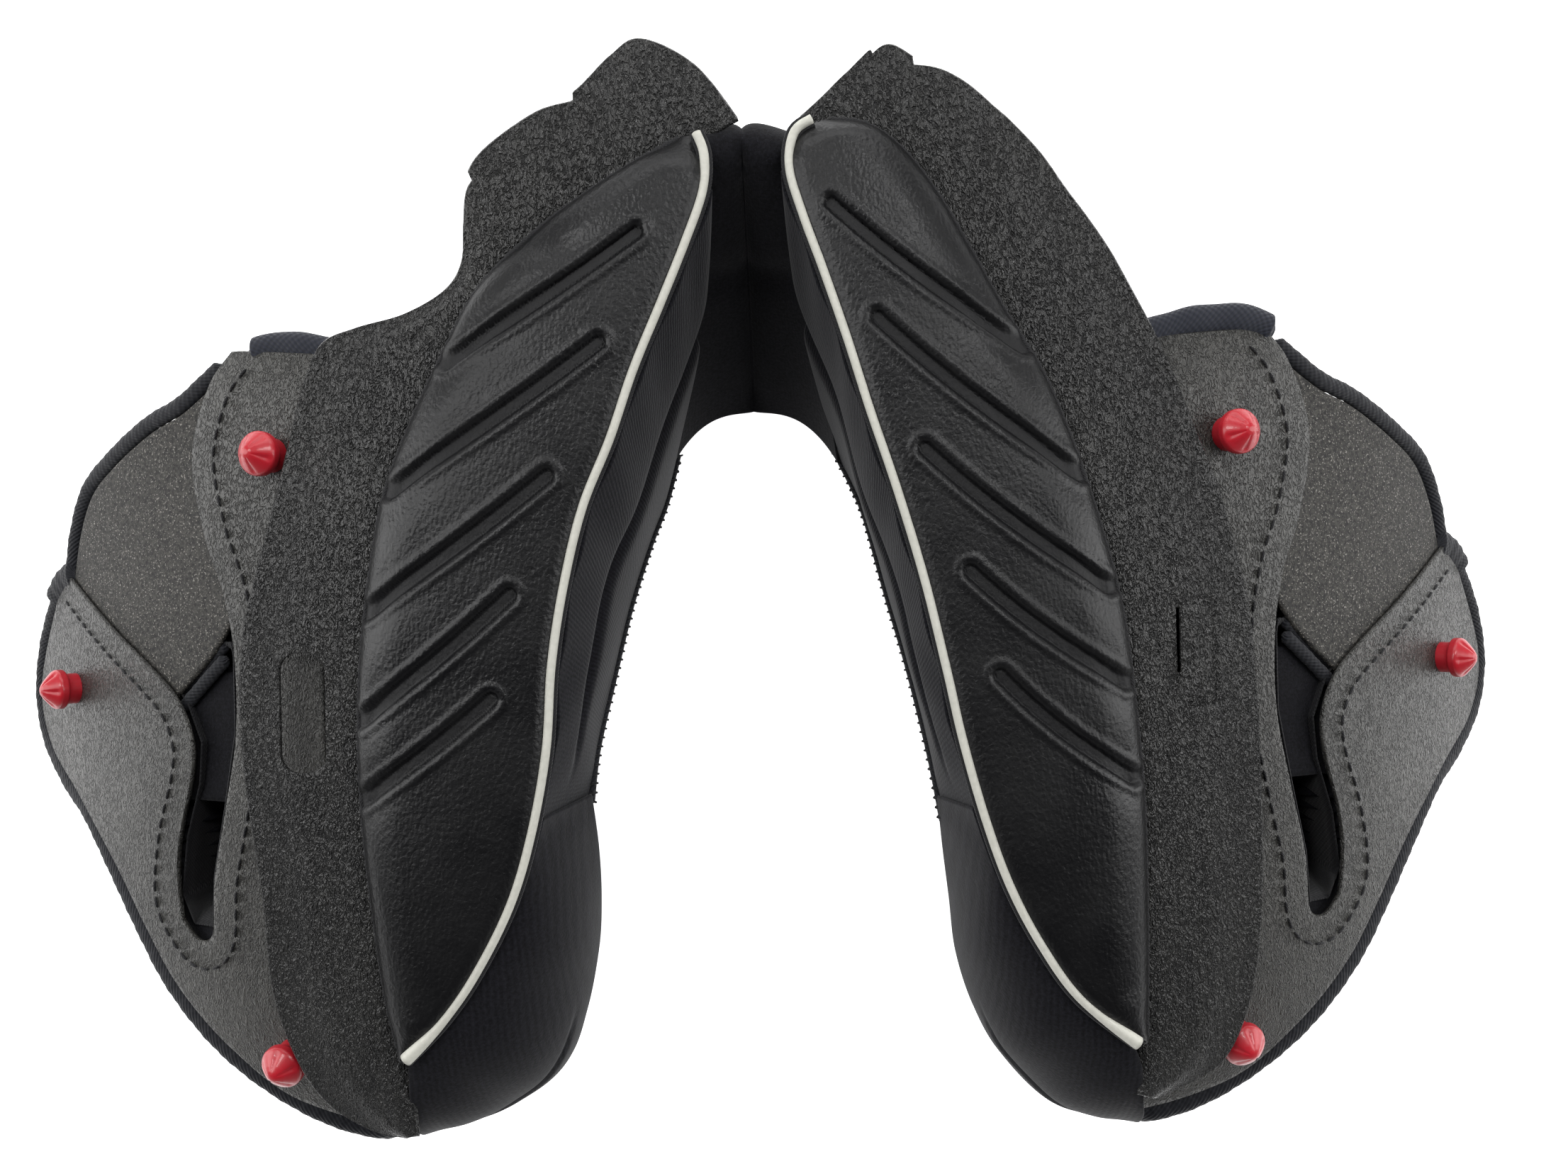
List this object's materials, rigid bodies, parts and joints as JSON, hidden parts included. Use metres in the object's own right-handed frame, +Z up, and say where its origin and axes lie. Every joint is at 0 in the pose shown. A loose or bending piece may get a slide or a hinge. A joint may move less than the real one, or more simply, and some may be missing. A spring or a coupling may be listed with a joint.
{
  "type": "helmet comfort liner",
  "caption": "Padded comfort liner for a full-face helmet: left and right cheek pads joined by a folding neck roll, with tuck-in edge strips and snap studs.",
  "frame": {"origin": "middle of the outline on the table that the liner lies on, upside down", "axes": "+X towards the right pad, +Y towards the back of the neck, +Z up, from the pads' faces to the leather bottom rolls"},
  "size_m": [0.4498, 0.2804, 0.0928],
  "materials": {
    "leather": "satin black coated leather cloth with a fine grain",
    "piping": "satin pale grey coated piping",
    "foam": "open-cell polyurethane foam",
    "knit": "dark navy-black brushed rib knit",
    "thread": "black overlock thread",
    "strip": "black polyethylene sheet with a coarse haircell emboss",
    "plate": "grey polyethylene sheet with a fine haircell emboss",
    "stud": "soft red polyethylene, slightly translucent",
    "washer": "natural white nylon",
    "ear_laminate": "dark grey foam laminate with a sparkling brushed face",
    "binding": "dark navy woven bias binding",
    "lining": "plain dark lining cloth"
  },
  "bodies": {
    "left_pad": {"leather_panel_left": "leather", "piping_left": "piping", "roll_foam_left": "foam", "inner_wall_left": "knit", "wall_hem_left": "thread", "lobe_cover_left": "knit", "edge_strip_left": "strip", "backing_plate_left": "plate", "snap_studs_left": "stud", "stud_washers_left": "washer", "ear_panel_left": "ear_laminate", "ear_binding_left": "binding", "ear_tape_left": "binding", "arm_binding_left": "binding", "top_wrap_left": "binding", "strap_lining_left": "lining", "cheek_foam_left": "foam", "cheek_cover_left": "knit", "neck_foam_left": "foam", "neck_pad_left": "foam", "neck_bridge_left": "knit", "neck_back_left": "lining"},
    "right_pad": {"leather_panel_right": "leather", "piping_right": "piping", "roll_foam_right": "foam", "inner_wall_right": "knit", "wall_hem_right": "thread", "lobe_cover_right": "knit", "edge_strip_right": "strip", "backing_plate_right": "plate", "snap_studs_right": "stud", "stud_washers_right": "washer", "ear_panel_right": "ear_laminate", "ear_binding_right": "binding", "ear_tape_right": "binding", "arm_binding_right": "binding", "top_wrap_right": "binding", "strap_lining_right": "lining", "cheek_foam_right": "foam", "cheek_cover_right": "knit", "neck_foam_right": "foam", "neck_pad_right": "foam", "neck_bridge_right": "knit", "neck_back_right": "lining"},
    "left_flap": {"rear_flap_left": "strip"},
    "right_flap": {"rear_flap_right": "strip"}
  },
  "joints": [
    {"name": "neck_fold", "type": "hinge", "parent": "left_pad", "child": "right_pad", "pos_m": [0, 0.12386, 0.05], "axis": [0, 0, 1], "range_deg": [0, 30]},
    {"name": "left_flap_flex", "type": "hinge", "parent": "left_pad", "child": "left_flap", "pos_m": [-0.017, 0.11886, 0.0844], "axis": [0.7493, 0.6622, 0], "range_deg": [-8, 12], "stiffness_Nm_per_rad": 0.05},
    {"name": "right_flap_flex", "type": "hinge", "parent": "right_pad", "child": "right_flap", "pos_m": [0.017, 0.11886, 0.0844], "axis": [0.7493, -0.6622, 0], "range_deg": [-8, 12], "stiffness_Nm_per_rad": 0.05}
  ]
}
